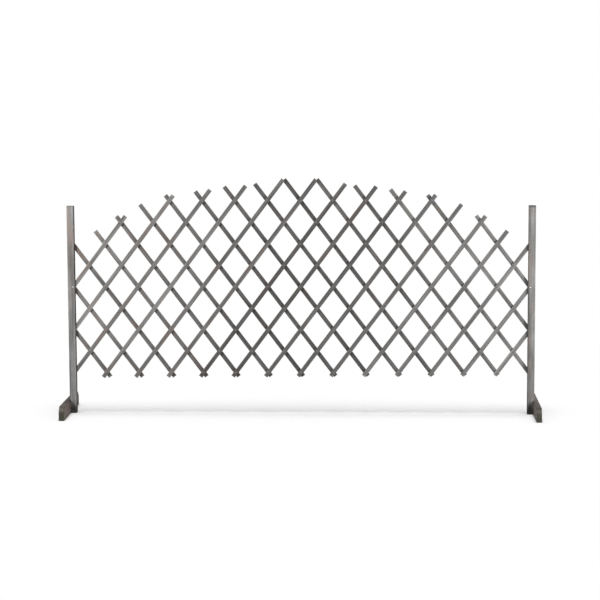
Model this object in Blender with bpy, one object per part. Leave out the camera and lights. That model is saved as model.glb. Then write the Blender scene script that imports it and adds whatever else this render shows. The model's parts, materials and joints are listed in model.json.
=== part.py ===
"""Expandable wooden trellis between two footed posts.

The lattice has two layers of flat slats. The front slats rise to the right and
the back slats rise to the left, and a rivet joins them wherever they cross. A
screw through each post, at half height, holds the lattice, and the other slat
ends slide in a groove down the inner face of the post. The whole lattice folds
like scissors, and carries the right post with it.

Frame: X along the lattice, -Y towards the front, Z up from the floor, with the
origin on the floor halfway between the posts.
"""
import math

import bmesh
import bpy

# Lattice, in metres
PITCH = 0.1165
REST_ANGLE = math.radians(37.0)
SLAT_WIDTH = 0.018
SLAT_THICKNESS = 0.007
COLUMNS = 28
SCREW_ROW = 4
SCREW_HEIGHT = 0.550
POST_TAIL = 0.009
LEFT_TAIL = 0.0270
RIGHT_TAIL = 0.0105

# Posts and foot boards
POST_SIZE = 0.030
POST_HEIGHT = 0.900
POST_INSET = 0.008
GROOVE_WIDTH = 0.018
GROOVE_DEPTH = 0.0215
FOOT_LENGTH = 0.400
FOOT_HEIGHT = 0.060
FOOT_THICKNESS = 0.023
FOOT_CHAMFER = 0.020
HOUSING_DEPTH = 0.005

# Fasteners
GAP = 0.0003
PIN_RADIUS = 0.0015
RIVET_HEAD_RADIUS = 0.0035
RIVET_HEAD_HEIGHT = 0.0010
RIVET_HEAD_SINK = 0.0003
SCREW_RADIUS = 0.0020
SCREW_HEAD_RADIUS = 0.0036
SCREW_HEAD_HEIGHT = 0.0022
SCREW_POINT = 0.0130
FOOT_SCREW_HEIGHTS = (0.018, 0.042)
FOOT_SCREW_HEAD_RADIUS = 0.0042
FOOT_SCREW_HEAD_DEPTH = 0.0030
FOOT_SCREW_LENGTH = 0.0250
HOLE_SIDES = 6
TURNED_SIDES = 8

# Front slats from left to right: first row, last row, and how far the slat
# runs past its last rivet, in pitches. An overhang of None ends in the right
# post. The overhangs draw the arched top, and the back slats mirror them.
FRONT_SLATS = (
    (4, 7, 0.29), (2, 8, 0.24), (0, 8, 0.50), (0, 8, 0.68),
    (0, 8, 0.97), (0, 8, 0.97), (0, 8, 0.77), (0, 8, 0.64),
    (0, 8, 0.42), (0, 8, 0.25), (0, 7, 0.82), (0, 7, 0.28),
    (0, 6, 0.60), (0, 6, None), (0, 4, None), (0, 2, None),
)
FIRST_FRONT_LINE = -4

# The row of the rivet on which each slat turns against the slat, or the left
# post, that carries it. It is where the slat has its origin.
FRONT_TURNING_ROWS = (4, 3, 2, 1, 0, 7, 6, 5, 4, 3, 2, 1, 0, 3, 2, 1)
BACK_TURNING_ROWS = (1, 4, 1, 2, 3, 4, 5, 6, 7, 8, 1, 2, 3, 4, 5, 6)

# Colours, as linear red, green and blue
POST_COLOUR = (0.290, 0.272, 0.250)
FOOT_COLOUR = (0.180, 0.160, 0.145)
SLAT_LIGHT = (0.215, 0.200, 0.186)
SLAT_DARK = (0.115, 0.098, 0.088)
METAL_COLOUR = (0.420, 0.415, 0.405)
WOOD_ROUGHNESS = 0.75
METAL_ROUGHNESS = 0.40

COLUMN_STEP = PITCH * math.sin(REST_ANGLE)
ROW_STEP = PITCH * math.cos(REST_ANGLE)
BOTTOM_ROW_HEIGHT = SCREW_HEIGHT - SCREW_ROW * ROW_STEP
LAYER_FACE = SLAT_THICKNESS + GAP / 2


def clear_scene():
    for item in list(bpy.data.objects):
        bpy.data.objects.remove(item, do_unlink=True)


def node_place(column, row):
    """Where the crossing of a column and a row lies."""
    x = (column - COLUMNS / 2) * COLUMN_STEP
    return (x, 0.0, BOTTOM_ROW_HEIGHT + row * ROW_STEP)


def material(name, colour, roughness, metallic):
    made = bpy.data.materials.new(name)
    made.use_nodes = True
    shader = made.node_tree.nodes["Principled BSDF"]
    shader.inputs["Base Color"].default_value = (*colour, 1.0)
    shader.inputs["Roughness"].default_value = roughness
    shader.inputs["Metallic"].default_value = metallic
    made.diffuse_color = (*colour, 1.0)
    return made


def wood(name, colour):
    return material(name + "_wood", colour, WOOD_ROUGHNESS, 0.0)


def metal(name):
    return material(name + "_metal", METAL_COLOUR, METAL_ROUGHNESS, 1.0)


def new_object(name, bm, skin, parent=None, smooth=False):
    """Make an object from a bmesh whose faces all point outwards."""
    bmesh.ops.recalc_face_normals(bm, faces=bm.faces[:])
    mesh = bpy.data.meshes.new(name)
    bm.to_mesh(mesh)
    bm.free()
    if smooth:
        mesh.shade_smooth()
        mesh.set_sharp_from_angle(angle=math.radians(40))
    if skin:
        mesh.materials.append(skin)
    made = bpy.data.objects.new(name, mesh)
    made.parent = parent
    bpy.context.collection.objects.link(made)
    return made


def new_empty(name, place):
    made = bpy.data.objects.new(name, None)
    made.location = place
    bpy.context.collection.objects.link(made)
    return made


def extrude(bm, faces, offset):
    """Give flat faces a thickness, as one closed body."""
    grown = bmesh.ops.extrude_face_region(bm, geom=faces)
    moved = [part for part in grown["geom"] if isinstance(part, bmesh.types.BMVert)]
    bmesh.ops.translate(bm, verts=moved, vec=offset)


def prism(bm, outline, offset):
    """A closed body from a flat outline and the way it is extruded."""
    face = bm.faces.new([bm.verts.new(point) for point in outline])
    extrude(bm, [face], offset)


def turned(bm, centre, profile, axis, sides):
    """A closed body turned about the X or the Y axis through a centre.

    The profile lists the place along the axis and the radius at each step,
    and a radius of zero is a point on the axis.
    """
    rings = []
    for along, radius in profile:
        count = sides if radius else 1
        ring = []
        for number in range(count):
            turn = 2 * math.pi * number / sides
            across = radius * math.sin(turn)
            up = radius * math.cos(turn)
            local = (along, across, up) if axis == "X" else (across, along, up)
            ring.append(bm.verts.new([a + b for a, b in zip(centre, local)]))
        rings.append(ring)
    for ring, following in zip(rings, rings[1:]):
        for number in range(sides):
            after = (number + 1) % sides
            corners = [ring[number % len(ring)], ring[after % len(ring)],
                       following[after % len(following)], following[number % len(following)]]
            bm.faces.new(list(dict.fromkeys(corners)))
    for end in (rings[0], rings[-1]):
        if len(end) > 1:
            bm.faces.new(end)


def combine(target, bm, name, operation, skin=None):
    """Join other closed bodies to a target, or take them away from it."""
    if not bm.faces:
        bm.free()
        return
    other = new_object(name, bm, skin)
    other.matrix_world = target.matrix_basis
    other.parent = target.parent
    other.hide_render = True
    other.display_type = "WIRE"
    step = target.modifiers.new(name, "BOOLEAN")
    step.operation = operation
    step.solver = "EXACT"
    step.object = other


def hole_radius(radius, sides):
    """The corner radius of a hole whose flats clear a pin by the gap."""
    return (radius + GAP) / math.cos(math.pi / sides)


def bottom_tail(column):
    """The slat's length below its lowest rivet, longer towards the left post."""
    return LEFT_TAIL + (RIGHT_TAIL - LEFT_TAIL) * column / COLUMNS


def slat_colour(number):
    """Slats near the posts are paler than those in the middle."""
    middle = (len(FRONT_SLATS) - 1) / 2
    share = abs(number - middle) / middle
    return [dark + (light - dark) * share for dark, light in zip(SLAT_DARK, SLAT_LIGHT)]


def riveted(column, row):
    """Whether a front slat and a back slat cross here, away from the screws."""
    number = (COLUMNS - column - row - FIRST_FRONT_LINE) // 2
    if not 0 <= number < len(FRONT_SLATS):
        return False
    first, last, _ = FRONT_SLATS[number]
    return first <= row <= last and not screwed(column, row)


def screwed(column, row):
    return column in (0, COLUMNS) and row == SCREW_ROW


def rivet_profile():
    """A pin with a low head on each side. The front head is sunk in the wood."""
    back = LAYER_FACE + GAP
    return (
        (-LAYER_FACE - RIVET_HEAD_HEIGHT, 0), (RIVET_HEAD_SINK - LAYER_FACE, RIVET_HEAD_RADIUS),
        (RIVET_HEAD_SINK - LAYER_FACE, PIN_RADIUS), (back, PIN_RADIUS),
        (back, RIVET_HEAD_RADIUS), (back + RIVET_HEAD_HEIGHT, 0),
    )


def build_slat(number, layer):
    """One slat of the front layer, or its mirror image in the back layer.

    The rivets turn with the front slats, so they are joined to them.
    """
    first, last, overhang = FRONT_SLATS[number]
    line = FIRST_FRONT_LINE + 2 * number
    if layer == "front":
        lean = REST_ANGLE
        front = -LAYER_FACE
        name = "front_slat_%02d" % (number + 1)
        turning_row = FRONT_TURNING_ROWS[number]
        column = line + turning_row
        lowest_column = line + first
    else:
        lean = -REST_ANGLE
        front = GAP / 2
        mirrored = len(FRONT_SLATS) - 1 - number
        name = "back_slat_%02d" % (mirrored + 1)
        turning_row = BACK_TURNING_ROWS[mirrored]
        column = COLUMNS - line - turning_row
        lowest_column = COLUMNS - line - first
    low_tail = POST_TAIL if lowest_column in (0, COLUMNS) else bottom_tail(lowest_column)
    high_tail = POST_TAIL if overhang is None else overhang * PITCH
    low = (first - turning_row) * PITCH - low_tail
    high = (last - turning_row) * PITCH + high_tail
    half = SLAT_WIDTH / 2

    bm = bmesh.new()
    outline = ((-half, front, low), (half, front, low), (half, front, high), (-half, front, high))
    prism(bm, outline, (0, SLAT_THICKNESS, 0))
    slat = new_object(name, bm, wood(name, slat_colour(number)))
    slat.location = node_place(column, turning_row)
    slat.rotation_euler = (0, lean, 0)

    rows = range(first, last + 1)
    rivets = [(row - turning_row) * PITCH for row in rows if riveted(line + row, row)]
    screws = [(row - turning_row) * PITCH for row in rows if screwed(line + row, row)]
    if layer == "front":
        bm = bmesh.new()
        for height in rivets:
            turned(bm, (0, 0, height), rivet_profile(), "Y", TURNED_SIDES)
        combine(slat, bm, name + "_rivets", "UNION", metal(name + "_rivets"))
    bored = [(height, SCREW_RADIUS) for height in screws]
    if layer == "back":
        bored += [(height, PIN_RADIUS) for height in rivets]
    bm = bmesh.new()
    for height, pin_radius in bored:
        radius = hole_radius(pin_radius, HOLE_SIDES)
        through = ((-2 * LAYER_FACE, radius), (2 * LAYER_FACE, radius))
        turned(bm, (0, 0, height), through, "Y", HOLE_SIDES)
    combine(slat, bm, name + "_holes", "DIFFERENCE")


def build_post(name, stand, side):
    """A grooved post. X counts from the slat ends outwards, as side times x."""
    inner = -POST_INSET
    outer = POST_SIZE - POST_INSET
    bottom = GROOVE_DEPTH - POST_INSET
    half = POST_SIZE / 2
    lip = GROOVE_WIDTH / 2
    section = (
        (inner, -half), (outer, -half), (outer, half), (inner, half),
        (inner, lip), (bottom, lip), (bottom, -lip), (inner, -lip),
    )
    bm = bmesh.new()
    prism(bm, [(side * x, y, 0) for x, y in section], (0, 0, POST_HEIGHT))
    post = new_object(name, bm, wood(name, POST_COLOUR), stand)
    post.location = (0, 0, -SCREW_HEIGHT)

    bm = bmesh.new()
    radius = hole_radius(SCREW_RADIUS, TURNED_SIDES)
    pivot_hole = ((-POST_SIZE, radius), (SCREW_POINT + GAP, radius))
    turned(bm, (0, 0, SCREW_HEIGHT), pivot_hole, "Y", TURNED_SIDES)
    screw_tip = outer - (FOOT_SCREW_LENGTH - (FOOT_THICKNESS - HOUSING_DEPTH)) - GAP
    screw_hole = ((side * screw_tip, radius), (side * POST_SIZE, radius))
    for height in FOOT_SCREW_HEIGHTS:
        turned(bm, (0, 0, height), screw_hole, "X", TURNED_SIDES)
    combine(post, bm, name + "_holes", "DIFFERENCE")


def foot_screw_profile(outer, side, extra):
    """A countersunk screw, or its hole where extra is the gap round it."""
    head_end = outer - GAP + 2 * extra
    neck = outer - GAP - FOOT_SCREW_HEAD_DEPTH
    tip = outer - GAP - FOOT_SCREW_LENGTH - extra
    widen = 1.0 / math.cos(math.pi / TURNED_SIDES) if extra else 1.0
    head_radius = (FOOT_SCREW_HEAD_RADIUS + extra) * widen
    shank_radius = (SCREW_RADIUS + extra) * widen
    steps = ((head_end, head_radius), (neck, shank_radius), (tip, shank_radius))
    return [(side * along, radius) for along, radius in steps]


def build_foot(name, stand, side):
    """A board on edge, housed over the outer side of the post."""
    post_outer = POST_SIZE - POST_INSET
    inner = post_outer - HOUSING_DEPTH
    outer = inner + FOOT_THICKNESS
    half = FOOT_LENGTH / 2
    shoulder = FOOT_HEIGHT - FOOT_CHAMFER
    outline = (
        (-half, 0), (half, 0), (half, shoulder), (half - FOOT_CHAMFER, FOOT_HEIGHT),
        (FOOT_CHAMFER - half, FOOT_HEIGHT), (-half, shoulder),
    )
    bm = bmesh.new()
    prism(bm, [(side * inner, y, z) for y, z in outline], (side * FOOT_THICKNESS, 0, 0))
    foot = new_object(name, bm, wood(name, FOOT_COLOUR), stand)
    foot.location = (0, 0, -SCREW_HEIGHT)

    bm = bmesh.new()
    housing_half = POST_SIZE / 2 + GAP
    housing_floor = post_outer + GAP
    section = ((0, -housing_half), (housing_floor, -housing_half),
               (housing_floor, housing_half), (0, housing_half))
    below = -FOOT_HEIGHT
    prism(bm, [(side * x, y, below) for x, y in section], (0, 0, 3 * FOOT_HEIGHT))
    combine(foot, bm, name + "_housing", "DIFFERENCE")

    bm = bmesh.new()
    for height in FOOT_SCREW_HEIGHTS:
        turned(bm, (0, 0, height), foot_screw_profile(outer, side, GAP), "X", TURNED_SIDES)
    combine(foot, bm, name + "_screw_holes", "DIFFERENCE")

    for word, height in zip(("lower", "upper"), FOOT_SCREW_HEIGHTS):
        bm = bmesh.new()
        turned(bm, (0, 0, height), foot_screw_profile(outer, side, 0.0), "X", TURNED_SIDES)
        screw_name = "%s_screw_%s" % (name, word)
        screw = new_object(screw_name, bm, metal(screw_name), stand, smooth=True)
        screw.location = (0, 0, -SCREW_HEIGHT)


def build_pivot_screw(name, stand):
    """The screw on which the lattice turns, driven from the front."""
    face = -POST_SIZE / 2 - GAP
    profile = (
        (face - SCREW_HEAD_HEIGHT, SCREW_HEAD_RADIUS / 2),
        (face - SCREW_HEAD_HEIGHT / 2, SCREW_HEAD_RADIUS), (face, SCREW_HEAD_RADIUS),
        (face, SCREW_RADIUS), (SCREW_POINT, SCREW_RADIUS),
    )
    bm = bmesh.new()
    turned(bm, (0, 0, 0), profile, "Y", TURNED_SIDES)
    new_object(name, bm, metal(name), stand, smooth=True)


def build_stand(word, column, side):
    """A post with its foot and screws, under an empty on the pivot screw."""
    stand = new_empty(word + "_stand", node_place(column, SCREW_ROW))
    build_post(word + "_post", stand, side)
    build_foot(word + "_foot", stand, side)
    build_pivot_screw(word + "_pivot_screw", stand)


def main():
    clear_scene()
    build_stand("left", 0, -1)
    build_stand("right", COLUMNS, 1)
    for number in range(len(FRONT_SLATS)):
        build_slat(number, "front")
        build_slat(number, "back")
    bpy.context.view_layer.update()


main()
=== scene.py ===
"""Looks of the expandable wooden trellis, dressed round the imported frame.

Every board is a finely lofted mesh with eased and worn edges, cut by the holes
of its rivets or screws, and it turns with the body of the solid it replaces.
The wood is a solid texture: growth rings round a pith line that runs beside
each board, so faces, edges and ends agree.
"""

import json
import math
import random

import bmesh
import bpy
from mathutils import Matrix, Vector, noise


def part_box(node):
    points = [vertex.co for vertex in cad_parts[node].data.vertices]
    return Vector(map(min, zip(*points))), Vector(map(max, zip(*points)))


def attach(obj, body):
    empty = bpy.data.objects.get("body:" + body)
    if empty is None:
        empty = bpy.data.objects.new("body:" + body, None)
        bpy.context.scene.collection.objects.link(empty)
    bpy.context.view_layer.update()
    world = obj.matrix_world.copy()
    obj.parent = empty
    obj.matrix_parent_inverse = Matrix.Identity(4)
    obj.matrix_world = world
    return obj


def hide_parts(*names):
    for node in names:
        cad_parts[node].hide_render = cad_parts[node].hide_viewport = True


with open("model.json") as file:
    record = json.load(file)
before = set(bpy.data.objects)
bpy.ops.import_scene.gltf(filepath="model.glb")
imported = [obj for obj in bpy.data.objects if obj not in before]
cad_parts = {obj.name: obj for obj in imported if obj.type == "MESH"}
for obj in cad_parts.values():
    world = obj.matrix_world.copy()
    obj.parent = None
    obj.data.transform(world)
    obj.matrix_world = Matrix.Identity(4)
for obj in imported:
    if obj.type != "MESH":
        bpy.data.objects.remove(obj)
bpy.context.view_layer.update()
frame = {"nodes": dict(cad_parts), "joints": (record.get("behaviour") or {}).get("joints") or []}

# The camera, fitted to the photograph. Its axis meets the picture in OPTICAL_ROW
FRAME_WIDTH = 600
FOCAL_PIXELS = 1877
OPTICAL_ROW = 275
SENSOR_WIDTH = 36.0
CAMERA_PLACE = (0.339, -8.0, 1.500)
CAMERA_YAW = math.radians(-2.44)
CAMERA_PITCH = math.radians(6.40)
CAMERA_ROLL = math.radians(-0.25)

# Each softbox: its place and target, its width and height in metres, its watts
SOFTBOXES = {
    "left_softbox": ((-1.9, -1.1, 1.5), (-0.6, 0.0, 0.5), (0.5, 0.6), 36.0),
    "right_softbox": ((2.1, -0.9, 1.1), (0.6, 0.0, 0.5), (0.5, 0.6), 33.0),
    "rear_softbox": ((0.4, 3.0, 1.7), (0.0, 0.0, 0.5), (1.8, 1.0), 70.0),
}

# The overhead light, which casts the band of shadow, and the world's grey fill
OVERHEAD_STRENGTH = 2.6
OVERHEAD_ANGLE = math.radians(31)
OVERHEAD_TILT = math.radians(5.2)
WORLD_FILL = 0.30

# The floor: its grey to the eye and to the light, and where it fades to white
SEEN_FLOOR_GREY = 0.90
UNSEEN_FLOOR_GREY = 0.34
FLOOR_FADE_START = 1.6
FLOOR_FADE_END = 2.6
FLOOR_HALF_WIDTH = 30.0
FLOOR_SEGMENTS = 8

# Each wood in linear colours: pale streaks, dark streaks, brown stain, green growth
WOODS = {
    "post": (
        (0.405, 0.399, 0.391), (0.178, 0.174, 0.169),
        (0.295, 0.242, 0.218), (0.235, 0.245, 0.220),
    ),
    "foot": (
        (0.205, 0.170, 0.160), (0.105, 0.085, 0.080),
        (0.150, 0.098, 0.080), (0.086, 0.106, 0.064),
    ),
    "slat": (
        (0.254, 0.249, 0.246), (0.152, 0.147, 0.145),
        (0.205, 0.150, 0.125), (0.155, 0.160, 0.128),
    ),
}
BLACK = (0.0, 0.0, 0.0)
KNOT_COLOUR = (0.030, 0.020, 0.015)
CHECK_COLOUR = (0.020, 0.017, 0.015)
SCUFF_PALER = 1.30
END_GRAIN_SHARE = 0.42
END_GRAIN_DARKER = 0.30

# Noises in the wood: scales across and along the fibres, detail and roughness
WOOD_NOISES = {
    "wander": (9.0, 2.2, 2.0, 0.55),
    "fine": (1500.0, 26.0, 2.0, 0.55),
    "fibre": (520.0, 9.0, 4.0, 0.55),
    "streak": (120.0, 2.6, 4.0, 0.55),
    "patch": (16.0, 5.5, 4.0, 0.60),
    "stain": (22.0, 9.0, 3.0, 0.60),
    "moss": (31.0, 7.0, 4.0, 0.65),
    "split": (250.0, 4.2, 2.0, 0.55),
}
KNOT_SCALES = (14.0, 9.0, 4.6)

# Effects in the wood: two values of what drives it, and the effect at each
WOOD_EFFECTS = {
    "knot_bend": (0.05, 0.30, 0.0040, 0.0),
    "knot_core": (0.035, 0.075, 1.0, 0.0),
    "knot_halo": (0.06, 0.17, 1.0, 0.0),
    "ring_darkens": (0.35, 0.93, 0.0, 1.0),
    "ring_ends": (1.0, 0.95, 0.0, 1.0),
    "pale_streak": (0.34, 0.66, 0.0, 1.0),
    "dark_fibre": (0.35, 0.68, 0.0, 0.40),
    "brown_stain": (0.46, 0.66, 0.0, 1.0),
    "damp_moss": (0.30, 0.60, 0.35, 1.0),
    "dry_moss": (0.54, 0.74, 0.0, 0.45),
    "dark_patch": (0.33, 0.67, 0.34, 0.0),
    "dark_fine": (0.30, 0.70, 0.16, 0.0),
    "check": (0.668, 0.715, 0.0, 1.0),
    "scuff": (0.40, 0.62, 0.10, 0.55),
    "roughness": (0.30, 0.70, 0.74, 0.93),
}
COLOUR_SHARES = {"late": 0.38, "knot_halo": 0.45, "knot_core": 0.75, "check": 0.70}
HEIGHT_SHARES = {"fibre": 0.55, "late": 0.45, "fine": 0.25, "check": 1.1, "knot_core": 0.4}
RING_WIDTH = 0.0021
PITH_WANDER = 0.014
WOOD_SHINE = 0.22
WOOD_BUMP = {"Strength": 0.75, "Distance": 0.00035}

# Each metal: name, bright and dull colour, metallic share, its two roughnesses
METALS = {
    "screw": ("zinc_plating", (0.64, 0.63, 0.61), (0.42, 0.41, 0.40), 0.85, 0.32, 0.55),
    "rivet": ("stained_rivet", (0.23, 0.215, 0.20), (0.15, 0.135, 0.12), 0.45, 0.50, 0.75),
}
METAL_CLOUDS = {"Scale": 900.0, "Detail": 4.0}
METAL_SPECKS = {"Scale": 3200.0, "Detail": 2.0}
CLOUDS_DULL = (0.40, 0.62)
CLOUDS_COARSEN = (0.35, 0.65)
SPECKS_DARKEN = (0.58, 0.68, 0.0, 0.6)
SPECK_DARKER = 0.35
METAL_SHIFT = 7.0
METAL_BUMP = {"Strength": 0.35, "Distance": 0.0001}

# Boards, in metres. Stations are spaced along a board, and points across it
SLAT_ROUNDING = 0.0010
POST_ROUNDING = 0.0018
FOOT_ROUNDING = 0.0020
SLAT_STATION = 0.008
POST_STATION = 0.010
FOOT_STATION = 0.008
SLAT_SPACING = 0.0042
POST_SPACING = 0.0060
FOOT_SPACING = 0.0080
END_BEVEL = 0.0006
GROOVE_WIDTH = 0.018
GROOVE_DEPTH = 0.0215
HOUSING_PLAY = 0.0003
FOOT_CHAMFER = 0.020
SHARP_ANGLE = math.radians(38)
END_FACE_SLOPE = 0.5

# Wear of the sawn faces, in metres, and its noise scales across and along a board
RELIEF = 0.00010
EDGE_WEAR = 0.00035
CHIP = 0.0014
CHIP_START = 0.45
RELIEF_SCALES = (400, 14)
EDGE_WEAR_SCALES = (60, 24)
CHIP_SCALES = (110, 75)

# How far scuffing reaches from an edge, and how much less it reaches on the feet
WEAR_REACH = 0.0016
FOOT_EDGE_COVER = 0.0010

# Chance: each kind's random seed, and the start and step of its place in the wear noise
SLAT_SEED = 79335
POST_SEED = 94
FOOT_SEED = 50
SLAT_WEAR = ((0.0, 0.0, 0.0), (3.7, 1.9, 5.3))
POST_WEAR = ((40.0, 2.0, 0.0), (9.1, 0.0, 7.0))
FOOT_WEAR = ((71.0, 11.0, 0.0), (5.3, 0.0, 3.0))

# Where a board may lie in its log, in metres from the pith and along it
FROM_PITH = (0.018, 0.060)
ALONG_LOG = (0, 12)

# Holes, in metres. Cutters reach past the face that they open
HOLE_RADIUS = 0.0018
SCREW_HOLE_RADIUS = 0.0023
HOLE_SIDES = 20
SLAT_CUT_PAST = 0.003
POST_CUT_PAST = 0.005
FOOT_CUT_PAST = 0.001
HOUSING_CUT_PAST = 0.01
TIP_PLAY = 0.0003
COUNTERSINK = ((0.0036, SCREW_HOLE_RADIUS), (0.0002, 0.0046), (-0.002, 0.0046))

# How far inside its slats a crossing lies, and how near a pivot screw it counts as there
CROSSING_MARGIN = 0.005
SAME_PLACE = 0.002

# A rivet: heights over the front slat's face and over the back slat's, with radii
PIN_RADIUS = 0.0015
RIVET_HEAD = (
    (0.00100, 0), (0.00098, 0.0009), (0.00088, 0.0018), (0.00066, 0.0027),
    (0.00036, 0.0033), (0.00012, 0.0035), (-0.00012, 0.0034), (-0.00012, PIN_RADIUS),
)
RIVET_TAIL = (
    (0.00005, PIN_RADIUS), (0.00005, 0.0033), (0.00022, 0.0034), (0.00040, 0.0030),
    (0.00085, 0.0027), (0.00120, 0.0021), (0.00118, 0.0015), (0.00085, 0.0011),
    (0.00040, 0.0009), (0.00040, 0),
)
RIVET_SIDES = 20
RIVET_TURN = 0.7

# Screws: depths below the crown with radii, and the length of the point
SCREW_RADIUS = 0.0020
ROUND_HEAD = (
    (0.0, 0), (0.00005, 0.0010), (0.00030, 0.0022), (0.00080, 0.0031),
    (0.00140, 0.0035), (0.0020, 0.0036), (0.0022, 0.0034), (0.0022, SCREW_RADIUS),
)
SUNK_HEAD = ((0.0, 0), (0.0, 0.0037), (0.0002, 0.0041), (0.0006, 0.0040), (0.0030, SCREW_RADIUS))
PIVOT_SCREW_POINT = 0.0035
FOOT_SCREW_POINT = 0.0040
SCREW_TIP_RADIUS = 0.0003
SCREW_SIDES = 28

# The cross in a screw's head: half length, half width and height over the crown
RECESS_TOP = (0.0023, 0.0005, 0.0006)
RECESS_FLOOR = (0.0010, 0.00035, -0.0013)
RECESS_TURNS = (0.45, 0.45 + math.pi / 2)

# Tones multiply a slat's colours. Those set by place are painted light: they run
# from the darker middle of the lattice, where the side lamps fall off, to its ends
# along a bent curve, and change with each metre of height and to the right
FRONT_PAINTED_LIGHT = {"middle": 0.83, "end": 1.57, "bend": 0.75, "height": -0.10, "right": 0.0}
BACK_PAINTED_LIGHT = {"middle": 0.83, "end": 1.33, "bend": 1.1, "height": 0.16, "right": 0.06}
OWN_TONES = (0.91, 1.09)

# Warmth is the share of brown stain. It falls from the left of the lattice to the right
SLAT_WARMTH = 0.28
SLAT_WARMTH_FALL = 0.30
OWN_WARMTHS = (-0.10, 0.20)

# Tones and warmth of the posts. Painted light: paler low down, and on the right post
# towards its outer side. Painted shade: darker in the groove and on the inner face.
# Darker on top
LOW_POST_PAINTED_LIGHT = 1.22
LOW_POST_BEND = 1.5
RIGHT_POST_INNER_TONE = 0.97
RIGHT_POST_TONE_GAIN = 0.16
GROOVE_PAINTED_SHADE = 0.20
GROOVE_START = 0.0004
GROOVE_MARGIN = 0.0005
LIP_MARGIN = 0.0006
INNER_FACE_PAINTED_SHADE = 0.72
INNER_FACE_DEPTH = 0.0012
TOP_BAND = 0.004
LEFT_TOP_TONE = 0.75
RIGHT_TOP_TONE = 0.30
LEFT_POST_WARMTH = 1.4
LEFT_POST_WARMTH_START = 0.45
RIGHT_POST_WARMTH = 0.95

# Painted shadow of the feet on the posts, up to the top of the feet, with the warmth and green growth
# of damp there
FOOT_SHADOW_TONE = 0.28
FOOT_SHADOW_REACH = 1.6
DAMP_WARMTH = 1.8
DAMP_GREEN = 0.3

# The feet: a darker top, and what the ends change in tone, warmth and green growth
FOOT_TOP_TONE = 0.62
FOOT_TOP_START = 0.93
FOOT_WARMTH = 0.9
FOOT_END_REACH = 0.04
LEFT_FOOT_ENDS = {"tone": 0.10, "warmth": 0.7, "green": 1.0, "green_bend": 0.5}
RIGHT_FOOT_ENDS = {"tone": 0.20, "warmth": 0.9, "green": 0.55, "green_bend": 0.0}

# The lattice, as the frame holds it
joints = {joint["name"]: joint for joint in frame["joints"]}
turning_points = {joint["child"]: Vector(joint["pos_m"]) for joint in frame["joints"]}
LEFT_SCREW = Vector(joints["lattice_spread"]["pos_m"])
RIGHT_SCREW = Vector(joints["right_post_screw"]["pos_m"])
HALF_WIDTH = abs(LEFT_SCREW.x)
step = turning_points["front_slat_02"] - LEFT_SCREW
LEAN = math.atan2(abs(step.x), abs(step.z))
SLAT_NAMES = sorted(name for name in frame["nodes"] if "_slat_" in name)


def add(tree, kind, inputs=(), **settings):
    """One shader node, with its settings and the values or links of its inputs."""
    made = tree.nodes.new("ShaderNode" + kind)
    for key, value in settings.items():
        setattr(made, key, value)
    for key, value in dict(inputs).items():
        if isinstance(value, bpy.types.NodeSocket):
            tree.links.new(value, made.inputs[key])
        else:
            made.inputs[key].default_value = value
    return made


def maths(tree, operation, first, second=0.0, third=None):
    """The result of one sum. Only a multiply-add takes a third value."""
    values = {0: first, 1: second}
    if third is not None:
        values[2] = third
    return add(tree, "Math", values, operation=operation).outputs[0]


def spread(tree, value, low, high, to_low=0.0, to_high=1.0):
    """A value carried smoothly from one range to another."""
    ranges = {"Value": value, "From Min": low, "From Max": high, "To Min": to_low, "To Max": to_high}
    return add(tree, "MapRange", ranges, interpolation_type="SMOOTHSTEP").outputs[0]


def mix(tree, share, first, second):
    """Two colours mixed by a share."""
    first, second = [(*c, 1.0) if isinstance(c, tuple) else c for c in (first, second)]
    return add(tree, "Mix", {0: share, 6: first, 7: second}, data_type="RGBA").outputs[2]


def grey(level):
    """A plain grey, as the colour of a shader's input."""
    return (level, level, level, 1.0)


def fibre_noise(tree, grain, across, along, detail, roughness):
    """Noise drawn out along the fibres, from scales across and along them."""
    scaled = add(tree, "VectorMath", {0: grain, 1: (across, across, along)}, operation="MULTIPLY")
    values = {"Vector": scaled.outputs[0], "Scale": 1.0, "Detail": detail, "Roughness": roughness}
    return add(tree, "TexNoise", values).outputs[0]


def new_material(name):
    """A new material, its node tree and the tree's shader."""
    made = bpy.data.materials.new(name)
    made.use_nodes = True
    tree = made.node_tree
    return made, tree, tree.nodes["Principled BSDF"]


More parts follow.
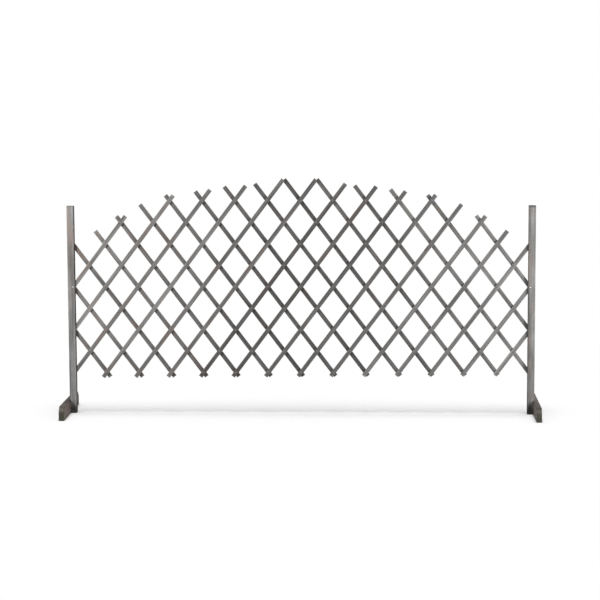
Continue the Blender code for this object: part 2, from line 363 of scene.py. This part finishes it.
def wood_material(name, pale, dark, brown, green, end_grain=False):
    """Weathered softwood: rings, fibres, checks, knots, stains and worn edges."""
    made, tree, shader = new_material(name)
    grain = add(tree, "Attribute", attribute_name="grain").outputs["Vector"]
    finish = add(tree, "Attribute", attribute_name="finish")
    parts = add(tree, "SeparateColor", {0: finish.outputs["Color"]})
    wear, tone, warmth = parts.outputs[0], parts.outputs[1], parts.outputs[2]
    damp = finish.outputs["Alpha"]
    noises = {key: fibre_noise(tree, grain, *values) for key, values in WOOD_NOISES.items()}

    def effect(key, driver):
        return spread(tree, driver, *WOOD_EFFECTS[key])

    def shared(value, share):
        return maths(tree, "MULTIPLY", value, share)

    # Knots are rare cells of a drawn-out pattern, and the rings bend round them
    cells = add(tree, "VectorMath", {0: grain, 1: KNOT_SCALES}, operation="MULTIPLY")
    knot = add(tree, "TexVoronoi", {"Vector": cells.outputs[0], "Scale": 1.0}, feature="F1").outputs[0]
    knot_core = effect("knot_core", knot)

    # Growth rings round a pith line that wanders along the board
    flat = add(tree, "VectorMath", {0: grain, 1: (1.0, 1.0, 0.0)}, operation="MULTIPLY")
    radius = add(tree, "VectorMath", {0: flat.outputs[0]}, operation="LENGTH").outputs["Value"]
    bent = maths(tree, "MULTIPLY_ADD", noises["wander"], PITH_WANDER, radius)
    bent = maths(tree, "ADD", bent, effect("knot_bend", knot))
    cycle = maths(tree, "FRACT", maths(tree, "DIVIDE", bent, RING_WIDTH))
    late = shared(effect("ring_darkens", cycle), effect("ring_ends", cycle))
    check = effect("check", noises["split"])

    # Silvery grey and darker streaks, then brown and greenish weathering
    body = mix(tree, effect("pale_streak", noises["streak"]), dark, pale)
    body = mix(tree, effect("dark_fibre", noises["fibre"]), body, dark)
    body = mix(tree, shared(late, COLOUR_SHARES["late"]), body, dark)
    body = mix(tree, shared(effect("brown_stain", noises["stain"]), warmth), body, brown)
    damp_growth = shared(damp, effect("damp_moss", noises["moss"]))
    growth = maths(tree, "MAXIMUM", damp_growth, effect("dry_moss", noises["moss"]))
    body = mix(tree, growth, body, green)
    body = mix(tree, effect("dark_patch", noises["patch"]), body, BLACK)
    body = mix(tree, shared(effect("knot_halo", knot), COLOUR_SHARES["knot_halo"]), body, brown)
    body = mix(tree, shared(knot_core, COLOUR_SHARES["knot_core"]), body, KNOT_COLOUR)
    body = mix(tree, shared(check, COLOUR_SHARES["check"]), body, CHECK_COLOUR)
    body = mix(tree, effect("dark_fine", noises["fine"]), body, BLACK)

    # Scuffed edges show the paler wood, and end grain is darker
    scuff = shared(wear, effect("scuff", noises["streak"]))
    body = mix(tree, scuff, body, tuple(min(1.0, c * SCUFF_PALER) for c in pale))
    if end_grain:
        body = mix(tree, END_GRAIN_SHARE, body, tuple(c * END_GRAIN_DARKER for c in dark))
    # The tone scales the colour, and carries the painted light and shade of the slats and posts
    toned = add(tree, "VectorMath", {0: body, "Scale": tone}, operation="SCALE")
    tree.links.new(toned.outputs[0], shader.inputs["Base Color"])
    tree.links.new(effect("roughness", noises["fibre"]), shader.inputs["Roughness"])
    shader.inputs["Specular IOR Level"].default_value = WOOD_SHINE

    # Fibres and late wood stand up, and checks are sunk
    height = shared(late, HEIGHT_SHARES["late"])
    height = maths(tree, "MULTIPLY_ADD", noises["fibre"], HEIGHT_SHARES["fibre"], height)
    height = maths(tree, "MULTIPLY_ADD", noises["fine"], HEIGHT_SHARES["fine"], height)
    height = maths(tree, "SUBTRACT", height, shared(check, HEIGHT_SHARES["check"]))
    height = maths(tree, "MULTIPLY_ADD", knot_core, HEIGHT_SHARES["knot_core"], height)
    bump = add(tree, "Bump", {**WOOD_BUMP, "Height": height})
    tree.links.new(bump.outputs[0], shader.inputs["Normal"])
    return made


def metal_material(name, bright, dull, metallic, smooth_at, coarse_at):
    """Plated steel, dulled and spotted in patches."""
    made, tree, shader = new_material(name)
    place = add(tree, "TexCoord").outputs["Object"]
    chance = add(tree, "ObjectInfo").outputs["Random"]
    shift = maths(tree, "MULTIPLY", chance, METAL_SHIFT)
    shifted = add(tree, "VectorMath", {0: place, 1: shift}, operation="ADD").outputs[0]
    cloud = add(tree, "TexNoise", {"Vector": shifted, **METAL_CLOUDS}).outputs[0]
    speck = add(tree, "TexNoise", {"Vector": shifted, **METAL_SPECKS}).outputs[0]
    colour = mix(tree, spread(tree, cloud, *CLOUDS_DULL), bright, dull)
    dark = tuple(c * SPECK_DARKER for c in dull)
    colour = mix(tree, spread(tree, speck, *SPECKS_DARKEN), colour, dark)
    tree.links.new(colour, shader.inputs["Base Color"])
    rough = spread(tree, cloud, *CLOUDS_COARSEN, smooth_at, coarse_at)
    tree.links.new(rough, shader.inputs["Roughness"])
    shader.inputs["Metallic"].default_value = metallic
    bump = add(tree, "Bump", {**METAL_BUMP, "Height": speck})
    tree.links.new(bump.outputs[0], shader.inputs["Normal"])
    return made


def make_materials():
    """Every finish of the object, by name."""
    made = {}
    for name, colours in WOODS.items():
        made[name] = wood_material(name + "_weathered", *colours)
        made[name + "_end"] = wood_material(name + "_end_grain", *colours, end_grain=True)
    for name, values in METALS.items():
        made[name] = metal_material(*values)
    return made


def outline_points(corners, rounding, spacing):
    """A closed outline, anticlockwise, as (place, outward way, edge) rows.

    Outer corners are rounded, and their points have an edge of 1. Inner corners
    stay sharp. Straight sides get points no further apart than the spacing.
    """
    corners = [Vector(corner) for corner in corners]
    count = len(corners)
    bends = []
    for number, corner in enumerate(corners):
        into = (corner - corners[number - 1]).normalized()
        away = (corners[(number + 1) % count] - corner).normalized()
        out_before = Vector((into.y, -into.x))
        out_after = Vector((away.y, -away.x))
        if into.x * away.y - into.y * away.x > 0:
            centre = corner - into * rounding + away * rounding
            ways = (out_before, (out_before + out_after).normalized(), out_after)
            bends.append([(centre + way * rounding, way, 1.0) for way in ways])
        else:
            bends.append([(corner, (out_before + out_after).normalized(), 0.0)])
    rows = []
    for number, bend in enumerate(bends):
        rows += bend
        start = bend[-1][0]
        end = bends[(number + 1) % count][0][0]
        side = end - start
        way = Vector((side.y, -side.x)).normalized()
        parts = max(1, math.ceil(side.length / spacing))
        rows += [(start + side * n / parts, way, 0.0) for n in range(1, parts)]
    return rows


def wear_noise(spot, scales, seed):
    """Noise at a spot of a board, from scales across and along the board."""
    across, along = scales
    return noise.noise(Vector((spot.x * across, spot.y * across, spot.z * along)) + seed)


def worn_depth(row, along, seed):
    """How far time has taken the surface inside its sawn size."""
    place, _, edge = row
    spot = Vector((place.x, place.y, along))
    depth = RELIEF * (1 + wear_noise(spot, RELIEF_SCALES, seed))
    if edge:
        soft = wear_noise(spot, EDGE_WEAR_SCALES, seed)
        nick = wear_noise(spot, CHIP_SCALES, -seed)
        depth += EDGE_WEAR * max(0.0, soft) + CHIP * max(0.0, nick - CHIP_START)
    return depth


def wear_seed(places, number):
    """Where a numbered board lies in the noise of its kind's wear."""
    start, stride = places
    return Vector([a + b * number for a, b in zip(start, stride)])


def loft(rows, stations, seed, put):
    """Skin an outline along its stations, and close both ends.

    Each station is its place along the board and how far the outline is drawn
    in there. put gives the 3-D place of an outline point at a station.
    """
    bm = bmesh.new()
    rings = []
    for along, drawn_in in stations:
        ring = []
        for row in rows:
            depth = drawn_in + worn_depth(row, along, seed)
            ring.append(bm.verts.new(put(row[0] - row[1] * depth, along)))
        rings.append(ring)
    for ring, following in zip(rings, rings[1:]):
        for number in range(len(rows)):
            after = (number + 1) % len(rows)
            bm.faces.new((ring[number], ring[after], following[after], following[number]))
    bm.faces.new(rings[0])
    bm.faces.new(rings[-1])
    bmesh.ops.recalc_face_normals(bm, faces=bm.faces[:])
    return bm


def run_of(low, high, step_length):
    """Stations from end to end, with a small bevel at both ends."""
    inner_low = low + END_BEVEL
    inner_high = high - END_BEVEL
    parts = max(2, round((inner_high - inner_low) / step_length))
    middle = [inner_low + (inner_high - inner_low) * n / parts for n in range(parts + 1)]
    return [(low, END_BEVEL)] + [(along, 0.0) for along in middle] + [(high, END_BEVEL)]


def turned(bm, centre, profile, axis, sides):
    """A closed body turned about the X or Y axis through a centre."""
    rings = []
    for along, radius in profile:
        ring = []
        for number in range(sides if radius else 1):
            turn = 2 * math.pi * number / sides
            across = radius * math.sin(turn)
            up = radius * math.cos(turn)
            local = (along, across, up) if axis == "X" else (across, along, up)
            ring.append(bm.verts.new(Vector(centre) + Vector(local)))
        rings.append(ring)
    for ring, following in zip(rings, rings[1:]):
        for number in range(sides):
            after = (number + 1) % sides
            corners = [ring[number % len(ring)], ring[after % len(ring)],
                       following[after % len(following)], following[number % len(following)]]
            bm.faces.new(list(dict.fromkeys(corners)))
    for end in (rings[0], rings[-1]):
        if len(end) > 1:
            bm.faces.new(end)


def box_body(bm, low, high):
    """A plain closed box between two corners, used as a cutter."""
    made = bmesh.ops.create_cube(bm, size=1.0)
    for vert in made["verts"]:
        vert.co = Vector([a + (b - a) * (c + 0.5) for a, b, c in zip(low, high, vert.co)])


def finish_mesh(bm, name):
    """Turn a finished bmesh into a mesh, and free it."""
    bmesh.ops.recalc_face_normals(bm, faces=bm.faces[:])
    mesh = bpy.data.meshes.new(name)
    bm.to_mesh(mesh)
    bm.free()
    return mesh


def new_piece(name, mesh, matrix=None):
    """A new object of a mesh, in the scene."""
    piece = bpy.data.objects.new(name, mesh)
    if matrix is not None:
        piece.matrix_world = matrix
    bpy.context.scene.collection.objects.link(piece)
    return piece


def smooth(mesh):
    """Shade a mesh smooth, apart from its sharp edges."""
    mesh.shade_smooth()
    mesh.set_sharp_from_angle(angle=SHARP_ANGLE)


def cut(piece, bm):
    """Take closed bodies, given in the piece's own frame, out of its mesh."""
    name = piece.name + "_cutter"
    cutter = new_piece(name, finish_mesh(bm, name), piece.matrix_world)
    modifier = piece.modifiers.new("cut", "BOOLEAN")
    modifier.operation = "DIFFERENCE"
    modifier.solver = "EXACT"
    modifier.object = cutter
    bpy.context.view_layer.update()
    evaluated = piece.evaluated_get(bpy.context.evaluated_depsgraph_get())
    result = bpy.data.meshes.new_from_object(evaluated)
    piece.modifiers.clear()
    piece.data = result
    bpy.data.objects.remove(cutter)


def finish_board(piece, finishes, kind, axis, low, high):
    """Give a board its finish, end grain on the faces across its ends, and shading."""
    for finish in (kind, kind + "_end"):
        piece.data.materials.append(finishes[finish])
    for face in piece.data.polygons:
        along = face.center[axis]
        near_end = along < low + END_BEVEL or along > high - END_BEVEL
        if near_end and abs(face.normal[axis]) > END_FACE_SLOPE:
            face.material_index = 1
    smooth(piece.data)


def set_grain(piece, to_grain, offset, edge_distance, look):
    """Store the fibre frame and the finish of each point.

    to_grain turns a point so that Z runs along the fibres, the offset sets how
    the board was sawn from its log, and edge_distance says how near a point is
    to a worn edge. look gives a point's tone, which on the slats and posts holds
    painted light and shade, and its warmth and dampness.
    """
    mesh = piece.data
    mesh.attributes.new("grain", "FLOAT_VECTOR", "POINT")
    mesh.attributes.new("finish", "FLOAT_COLOR", "POINT")
    grain = mesh.attributes["grain"].data
    finish = mesh.attributes["finish"].data
    for vert in mesh.vertices:
        wear = max(0.0, 1.0 - edge_distance(vert.co) / WEAR_REACH)
        grain[vert.index].vector = Vector(to_grain(vert.co)) + offset
        finish[vert.index].color = (wear, *look(vert.co))


def sawn_from_log(chance):
    """Where the board lay in its log: its distance and way from the pith."""
    turn = chance.uniform(0, 2 * math.pi)
    reach = chance.uniform(*FROM_PITH)
    return Vector((reach * math.cos(turn), reach * math.sin(turn), chance.uniform(*ALONG_LOG)))


def depth_inside(value, low, high):
    """How far a value lies inside two limits."""
    return min(value - low, high - value)


def from_edge(across, through, along):
    """How far a surface point is from an edge, from its depths below three pairs of faces."""
    return max(0.0, min(max(across, through), max(along, min(across, through))))


def settle(piece, body, slot, *nodes):
    """Fasten a piece to its body, and hide the solids that it stands for."""
    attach(piece, body)
    if nodes:
        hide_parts(*nodes)


def read_slat(name):
    """A slat's own frame and size, from its solid in the frame.

    The solids of the front slats hold rivets, so a back slat gives the thickness.
    """
    is_front = name.startswith("front")
    lean = LEAN if is_front else -LEAN
    matrix = Matrix.Translation(turning_points[name]) @ Matrix.Rotation(lean, 4, "Y")
    inverse = matrix.inverted()
    places = [inverse @ vert.co for vert in frame["nodes"][name].data.vertices]
    flat_low, flat_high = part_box("back_slat_01")
    thickness = flat_high.y - flat_low.y
    face = flat_low.y
    return {
        "name": name,
        "front": is_front,
        "matrix": matrix,
        "point": turning_points[name],
        "way": Vector((math.sin(lean), 0.0, math.cos(lean))),
        "low": min(place.z for place in places),
        "high": max(place.z for place in places),
        "half": max(place.x for place in places),
        "y": (-face - thickness, -face) if is_front else (face, face + thickness),
        "rivets": [],
        "screws": [],
    }


def crossing(first, second):
    """Where two slats cross, and how far along each, or None."""
    gap = second["point"] - first["point"]
    a, b = first["way"], second["way"]
    span = a.x * -b.z + b.x * a.z
    along_first = (gap.x * -b.z + b.x * gap.z) / span
    along_second = (a.x * gap.z - gap.x * a.z) / span
    for slat, along in ((first, along_first), (second, along_second)):
        if not slat["low"] + CROSSING_MARGIN < along < slat["high"] - CROSSING_MARGIN:
            return None
    return first["point"] + a * along_first, along_first, along_second


def find_crossings(slats):
    """List the rivets, and note on each slat where it is bored."""
    rivets = []
    back_slats = [slat for slat in slats if not slat["front"]]
    for front in [slat for slat in slats if slat["front"]]:
        for back in back_slats:
            found = crossing(front, back)
            if found is None:
                continue
            place, along_front, along_back = found
            at_post = min((place - LEFT_SCREW).length, (place - RIGHT_SCREW).length) < SAME_PLACE
            kind = "screws" if at_post else "rivets"
            front[kind].append(along_front)
            back[kind].append(along_back)
            if not at_post:
                rivets.append((place, front["name"]))
    return rivets


def make_slat(slat, number, finishes):
    """A slat, bored at its crossings, with painted light in the tone of its place in the lattice."""
    chance = random.Random(SLAT_SEED + number)
    y_low, y_high = slat["y"]
    half = slat["half"]
    corners = ((-half, y_low), (half, y_low), (half, y_high), (-half, y_high))
    rows = outline_points(corners, SLAT_ROUNDING, SLAT_SPACING)
    stations = run_of(slat["low"], slat["high"], SLAT_STATION)
    seed = wear_seed(SLAT_WEAR, number)
    bm = loft(rows, stations, seed, lambda flat, along: (flat.x, flat.y, along))
    name = slat["name"] + "_board"
    piece = new_piece(name, finish_mesh(bm, name), slat["matrix"])

    holes = bmesh.new()
    for kind, radius in (("rivets", HOLE_RADIUS), ("screws", SCREW_HOLE_RADIUS)):
        for along in slat[kind]:
            profile = ((y_low - SLAT_CUT_PAST, radius), (y_high + SLAT_CUT_PAST, radius))
            turned(holes, (0, 0, along), profile, "Y", HOLE_SIDES)
    cut(piece, holes)
    finish_board(piece, finishes, "slat", 2, slat["low"], slat["high"])

    painted_light = FRONT_PAINTED_LIGHT if slat["front"] else BACK_PAINTED_LIGHT
    own_tone = chance.uniform(*OWN_TONES)
    own_warmth = chance.uniform(*OWN_WARMTHS)

    def edge_distance(spot):
        across = depth_inside(spot.x, -half, half)
        through = depth_inside(spot.y, y_low, y_high)
        return from_edge(across, through, depth_inside(spot.z, slat["low"], slat["high"]))

    def look(spot):
        """Painted light: a front slat keeps nearly one tone, and a back slat pales from the darker
        middle of the lattice towards the posts.
        """
        # Painted light by place: darker in the middle of the lattice, paler towards its ends, changed
        # with height and to the right
        place = slat["matrix"] @ spot
        rise = place.z - LEFT_SCREW.z
        across = place.x / HALF_WIDTH
        slat_across = (place.x - rise * math.tan(LEAN)) / HALF_WIDTH
        toned_at = slat_across if slat["front"] else across
        share = min(1.0, abs(toned_at)) ** painted_light["bend"]
        tone = painted_light["middle"] + (painted_light["end"] - painted_light["middle"]) * share
        tone *= 1.0 + painted_light["height"] * rise
        tone *= 1.0 + painted_light["right"] * across
        warmth = max(0.0, SLAT_WARMTH - SLAT_WARMTH_FALL * across + own_warmth)
        return (tone * own_tone, warmth, 0.0)

    set_grain(piece, lambda spot: spot, sawn_from_log(chance), edge_distance, look)
    settle(piece, slat["name"], "slat_wood", slat["name"])


def rivet_mesh(finish):
    """A domed head in front, a pin, and a rolled end behind. It is turned about Y."""
    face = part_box("back_slat_01")[1].y
    head = [(-face - height, radius) for height, radius in RIVET_HEAD]
    tail = [(face + height, radius) for height, radius in RIVET_TAIL]
    bm = bmesh.new()
    turned(bm, (0, 0, 0), head + tail, "Y", RIVET_SIDES)
    mesh = finish_mesh(bm, "rivet")
    mesh.materials.append(finish)
    smooth(mesh)
    return mesh


def make_rivets(rivets, finish):
    """The rivets, numbered from left to right and upwards, each on its front slat."""
    mesh = rivet_mesh(finish)
    ordered = sorted(rivets, key=lambda rivet: (round(rivet[0].x, 3), round(rivet[0].z, 3)))
    for number, (place, body) in enumerate(ordered):
        turn = Matrix.Rotation(number * RIVET_TURN, 4, "Y")
        piece = new_piece("rivet_%03d" % (number + 1), mesh, Matrix.Translation(place) @ turn)
        settle(piece, body, "zinc_steel")


def recess_bar(centre, axis, outward, turn):
    """One tapered bar of the cross that is sunk in a screw head, as a cutter."""
    bm = bmesh.new()
    made = bmesh.ops.create_cube(bm, size=1.0)
    for vert in made["verts"]:
        length, width, height = RECESS_TOP if vert.co.z > 0 else RECESS_FLOOR
        flat = Matrix.Rotation(turn, 2) @ Vector((vert.co.x * 2 * length, vert.co.y * 2 * width))
        up = outward * height
        local = (flat.x, up, flat.y) if axis == "Y" else (up, flat.x, flat.y)
        vert.co = Vector(centre) + Vector(local)
    return bm


def make_screw(node, body, axis, outward, head, point, finish):
    """A screw turned about its axis, with a cross in its head.

    outward is the way that the head faces along the axis. Each bar of the cross
    is cut on its own, because a cutter may not overlap itself.
    """
    low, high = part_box(node)
    index = "XYZ".index(axis)
    crown, tip = (high[index], low[index]) if outward > 0 else (low[index], high[index])
    profile = [(crown - outward * depth, radius) for depth, radius in head]
    profile += [(tip + outward * point, SCREW_RADIUS), (tip, SCREW_TIP_RADIUS), (tip, 0)]
    centre = (low + high) / 2
    centre[index] = 0.0
    bm = bmesh.new()
    turned(bm, centre, profile, axis, SCREW_SIDES)
    piece = new_piece(node + "_fine", finish_mesh(bm, node + "_fine"))
    centre[index] = crown
    for turn in RECESS_TURNS:
        cut(piece, recess_bar(centre, axis, outward, turn))
    piece.data.materials.append(finish)
    smooth(piece.data)
    settle(piece, body, "zinc_steel", node)


def inner_and_outer(low, high, side):
    """The places along X of a stand's faces towards the lattice and away from it."""
    return (low.x, high.x) if side > 0 else (high.x, low.x)


def middle_of(node):
    """The middle of a solid's box."""
    low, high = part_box(node)
    return (low + high) / 2


def make_post(word, side, finishes, number):
    """A grooved post. Its groove opens towards the lattice."""
    node = word + "_post"
    low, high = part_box(node)
    inner, outer = inner_and_outer(low, high, side)
    lip = GROOVE_WIDTH / 2
    bottom = inner + side * GROOVE_DEPTH
    corners = [
        (inner, low.y), (outer, low.y), (outer, high.y), (inner, high.y),
        (inner, lip), (bottom, lip), (bottom, -lip), (inner, -lip),
    ]
    if side < 0:
        corners.reverse()
    rows = outline_points(corners, POST_ROUNDING, POST_SPACING)
    stations = run_of(low.z, high.z, POST_STATION)
    seed = wear_seed(POST_WEAR, number)
    bm = loft(rows, stations, seed, lambda flat, along: (flat.x, flat.y, along))
    piece = new_piece(node + "_board", finish_mesh(bm, node + "_board"))

    holes = bmesh.new()
    pivot = word + "_pivot_screw"
    centre = middle_of(pivot)
    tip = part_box(pivot)[1].y + TIP_PLAY
    profile = ((low.y - POST_CUT_PAST, SCREW_HOLE_RADIUS), (tip, SCREW_HOLE_RADIUS))
    turned(holes, (centre.x, 0, centre.z), profile, "Y", HOLE_SIDES)
    for place in ("lower", "upper"):
        screw = "%s_foot_screw_%s" % (word, place)
        centre = middle_of(screw)
        tip = inner_and_outer(*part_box(screw), side)[0] - side * TIP_PLAY
        profile = ((tip, SCREW_HOLE_RADIUS), (outer + side * POST_CUT_PAST, SCREW_HOLE_RADIUS))
        turned(holes, (0, centre.y, centre.z), profile, "X", HOLE_SIDES)
    cut(piece, holes)
    finish_board(piece, finishes, "post", 2, low.z, high.z)
    foot_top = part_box(word + "_foot")[1].z

    def edge_distance(spot):
        across = depth_inside(spot.x, low.x, high.x)
        through = depth_inside(spot.y, low.y, high.y)
        return from_edge(across, through, depth_inside(spot.z, low.z, high.z))

    def look(spot):
        """Painted light paler towards the foot and towards the right post's outer side, painted shade
        in the groove and on the inner face, and a painted shadow of the foot at the bottom, where damp
        warms and greens the wood.
        """
        height = (spot.z - low.z) / (high.z - low.z)
        inside = side * (spot.x - inner)
        # Painted light: paler low down
        tone = 1.0 + (LOW_POST_PAINTED_LIGHT - 1.0) * (1.0 - height) ** LOW_POST_BEND
        above = max(0.0, height - LEFT_POST_WARMTH_START)
        warmth = LEFT_POST_WARMTH * above / (1.0 - LEFT_POST_WARMTH_START)
        if side > 0:
            across = inside / (side * (outer - inner))
            # Painted light: the right post pales towards its outer side
            tone *= RIGHT_POST_INNER_TONE + RIGHT_POST_TONE_GAIN * max(0.0, across)
            warmth = RIGHT_POST_WARMTH * (1.0 - across)
        # Painted shade in the groove and on the inner face beside it
        in_depth = GROOVE_START < inside < GROOVE_DEPTH + GROOVE_MARGIN
        if in_depth and abs(spot.y) < lip + LIP_MARGIN:
            tone *= GROOVE_PAINTED_SHADE
        elif inside < INNER_FACE_DEPTH:
            tone *= INNER_FACE_PAINTED_SHADE
        # Painted shadow of the foot, darkening the post up to the foot's top; the damp there gives
        # warmth and green
        damp = max(0.0, 1.0 - (spot.z - low.z) / foot_top)
        tone *= 1.0 - (1.0 - FOOT_SHADOW_TONE) * min(1.0, FOOT_SHADOW_REACH * damp)
        if spot.z > high.z - TOP_BAND:
            tone *= RIGHT_TOP_TONE if side > 0 else LEFT_TOP_TONE
        return (tone, max(warmth, DAMP_WARMTH * damp), DAMP_GREEN * damp)

    offset = sawn_from_log(random.Random(POST_SEED + number))
    set_grain(piece, lambda spot: spot, offset, edge_distance, look)
    settle(piece, word + "_stand", "post_wood", node)


def make_foot(word, side, finishes, number):
    """A board on edge, with cut top corners and a housing for the post."""
    node = word + "_foot"
    low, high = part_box(node)
    post_low, post_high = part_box(word + "_post")
    inner, outer = inner_and_outer(low, high, side)
    corners = ((low.x, low.z), (high.x, low.z), (high.x, high.z), (low.x, high.z))
    rows = outline_points(corners, FOOT_ROUNDING, FOOT_SPACING)
    shoulders = (low.y + FOOT_CHAMFER, high.y - FOOT_CHAMFER)
    stations = run_of(low.y, high.y, FOOT_STATION)
    stations = sorted(stations + [(along, 0.0) for along in shoulders])
    waist = (high.z - low.z) / 2

    def top_drop(along):
        """How far the top is cut down, in the corners at both ends."""
        return max(0.0, FOOT_CHAMFER - depth_inside(along, low.y, high.y))

    def put(flat, along):
        """Draw the upper half of the outline down where a corner is cut."""
        share = (flat.y - low.z - waist) / (waist - 2 * FOOT_ROUNDING)
        return (flat.x, along, flat.y - top_drop(along) * max(0.0, min(1.0, share)))

    bm = loft(rows, stations, wear_seed(FOOT_WEAR, number), put)
    piece = new_piece(node + "_board", finish_mesh(bm, node + "_board"))

    housing = bmesh.new()
    floor = inner_and_outer(post_low, post_high, side)[1] + side * HOUSING_PLAY
    x_low, x_high = sorted((inner - side * HOUSING_CUT_PAST, floor))
    box_low = (x_low, post_low.y - HOUSING_PLAY, low.z - HOUSING_CUT_PAST)
    box_high = (x_high, post_high.y + HOUSING_PLAY, high.z + HOUSING_CUT_PAST)
    box_body(housing, box_low, box_high)
    cut(piece, housing)
    holes = bmesh.new()
    for place in ("lower", "upper"):
        centre = middle_of("%s_screw_%s" % (node, place))
        profile = [(inner - side * FOOT_CUT_PAST, SCREW_HOLE_RADIUS)]
        profile += [(outer - side * depth, radius) for depth, radius in COUNTERSINK]
        turned(holes, (0, centre.y, centre.z), profile, "X", HOLE_SIDES)
    cut(piece, holes)
    finish_board(piece, finishes, "foot", 1, low.y, high.y)

    def edge_distance(spot):
        across = depth_inside(spot.x, low.x, high.x)
        through = depth_inside(spot.z, low.z, high.z - top_drop(spot.y))
        return FOOT_EDGE_COVER + from_edge(across, through, depth_inside(spot.y, low.y, high.y))

    def look(spot):
        """Dark on top, and paler and greener at both ends."""
        ends = RIGHT_FOOT_ENDS if side > 0 else LEFT_FOOT_ENDS
        height = (spot.z - low.z) / (high.z - low.z)
        near_end = max(0.0, 1.0 - depth_inside(spot.y, low.y, high.y) / FOOT_END_REACH)
        tone = FOOT_TOP_TONE if height > FOOT_TOP_START else 1.0
        tone *= 1.0 + ends["tone"] * near_end
        green = ends["green"] * near_end * (1.0 - height) ** ends["green_bend"]
        return (tone, FOOT_WARMTH - ends["warmth"] * near_end, green)

    offset = sawn_from_log(random.Random(FOOT_SEED + number))
    set_grain(piece, lambda spot: (spot.x, spot.z, spot.y), offset, edge_distance, look)
    settle(piece, word + "_stand", "foot_wood", node)


def make_stands(finishes):
    """Both posts with their feet and screws."""
    finish = finishes["screw"]
    for number, (word, side) in enumerate((("left", -1), ("right", 1))):
        make_post(word, side, finishes, number)
        make_foot(word, side, finishes, number)
        body = word + "_stand"
        make_screw(word + "_pivot_screw", body, "Y", -1, ROUND_HEAD, PIVOT_SCREW_POINT, finish)
        for place in ("lower", "upper"):
            node = "%s_foot_screw_%s" % (word, place)
            make_screw(node, body, "X", side, SUNK_HEAD, FOOT_SCREW_POINT, finish)


def make_floor():
    """A pale floor that keeps the object's shadow and fades to white far off."""
    made, tree, shader = new_material("studio_floor")
    tree.nodes.remove(shader)
    path = add(tree, "LightPath")
    place = add(tree, "TexCoord").outputs["Object"]
    away = add(tree, "VectorMath", {0: place}, operation="LENGTH").outputs["Value"]
    far_share = spread(tree, away, FLOOR_FADE_START, FLOOR_FADE_END)
    near = add(tree, "BsdfDiffuse", {"Color": grey(SEEN_FLOOR_GREY)}).outputs[0]
    white = add(tree, "Emission", {"Color": grey(1.0), "Strength": 1.0}).outputs[0]
    seen = add(tree, "MixShader", {0: far_share, 1: near, 2: white}).outputs[0]
    unseen = add(tree, "BsdfDiffuse", {"Color": grey(UNSEEN_FLOOR_GREY)}).outputs[0]
    to_eye = maths(tree, "MAXIMUM", path.outputs["Is Camera Ray"], path.outputs["Is Glossy Ray"])
    both = add(tree, "MixShader", {0: to_eye, 1: unseen, 2: seen})
    tree.links.new(both.outputs[0], tree.nodes["Material Output"].inputs["Surface"])

    bm = bmesh.new()
    segments = {"x_segments": FLOOR_SEGMENTS, "y_segments": FLOOR_SEGMENTS}
    bmesh.ops.create_grid(bm, size=FLOOR_HALF_WIDTH, **segments)
    mesh = finish_mesh(bm, "studio_floor")
    mesh.materials.append(made)
    floor = new_piece("studio_floor", mesh)
    return floor


def make_world():
    """White to the eye and in reflections, and a soft grey fill for the rest."""
    world = bpy.data.worlds.new("studio")
    world.use_nodes = True
    tree = world.node_tree
    tree.nodes.clear()
    path = add(tree, "LightPath")
    to_eye = maths(tree, "MAXIMUM", path.outputs["Is Camera Ray"], path.outputs["Is Glossy Ray"])
    to_eye = maths(tree, "MAXIMUM", to_eye, path.outputs["Is Transmission Ray"])
    fill = add(tree, "Background", {"Color": grey(1.0), "Strength": WORLD_FILL}).outputs[0]
    white = add(tree, "Background", {"Color": grey(1.0), "Strength": 1.0}).outputs[0]
    both = add(tree, "MixShader", {0: to_eye, 1: fill, 2: white})
    output = add(tree, "OutputWorld")
    tree.links.new(both.outputs[0], output.inputs["Surface"])
    bpy.context.scene.world = world


def make_lamp(name, kind, strength, receivers):
    """A lamp in the scene that lights what its collection of receivers says."""
    lamp = bpy.data.lights.new(name, kind)
    lamp.energy = strength
    made = bpy.data.objects.new(name, lamp)
    bpy.context.scene.collection.objects.link(made)
    made.light_linking.receiver_collection = receivers
    return made


def make_lights(floor):
    """Softboxes that spare the floor, and an overhead light that lights nothing else."""
    spared = bpy.data.collections.new("lit_only_from_above")
    spared.objects.link(floor)
    spared.collection_objects[0].light_linking.link_state = "EXCLUDE"
    for name, (place, target, size, power) in SOFTBOXES.items():
        made = make_lamp(name, "AREA", power, spared)
        made.data.shape = "RECTANGLE"
        made.data.size, made.data.size_y = size
        made.location = place
        towards = Vector(target) - Vector(place)
        made.rotation_euler = towards.to_track_quat("-Z", "Y").to_euler()

    lit = bpy.data.collections.new("lit_by_overhead_light")
    lit.objects.link(floor)
    made = make_lamp("overhead_light", "SUN", OVERHEAD_STRENGTH, lit)
    made.data.angle = OVERHEAD_ANGLE
    made.rotation_euler = (OVERHEAD_TILT, 0.0, 0.0)


def make_camera():
    """The photograph's camera, with the lens shift that its framing needs."""
    data = bpy.data.cameras.new("camera")
    data.sensor_width = SENSOR_WIDTH
    data.lens = SENSOR_WIDTH * FOCAL_PIXELS / FRAME_WIDTH
    data.shift_y = (OPTICAL_ROW - FRAME_WIDTH / 2) / FRAME_WIDTH
    camera = bpy.data.objects.new("camera", data)
    turn = Matrix.Rotation(-CAMERA_YAW, 4, "Z") @ Matrix.Rotation(math.pi / 2 - CAMERA_PITCH, 4, "X")
    turn = turn @ Matrix.Rotation(CAMERA_ROLL, 4, "Z")
    camera.matrix_world = Matrix.Translation(CAMERA_PLACE) @ turn
    bpy.context.scene.collection.objects.link(camera)
    bpy.context.scene.camera = camera


def main():
    """Build the studio, then the slats, the rivets and the two stands."""
    make_camera()
    make_world()
    make_lights(make_floor())
    finishes = make_materials()
    slats = [read_slat(name) for name in SLAT_NAMES]
    rivets = find_crossings(slats)
    for number, slat in enumerate(slats):
        make_slat(slat, number, finishes)
    make_rivets(rivets, finishes["rivet"])
    make_stands(finishes)
    bpy.context.scene.view_settings.view_transform = "Standard"
    bpy.context.view_layer.update()


main()
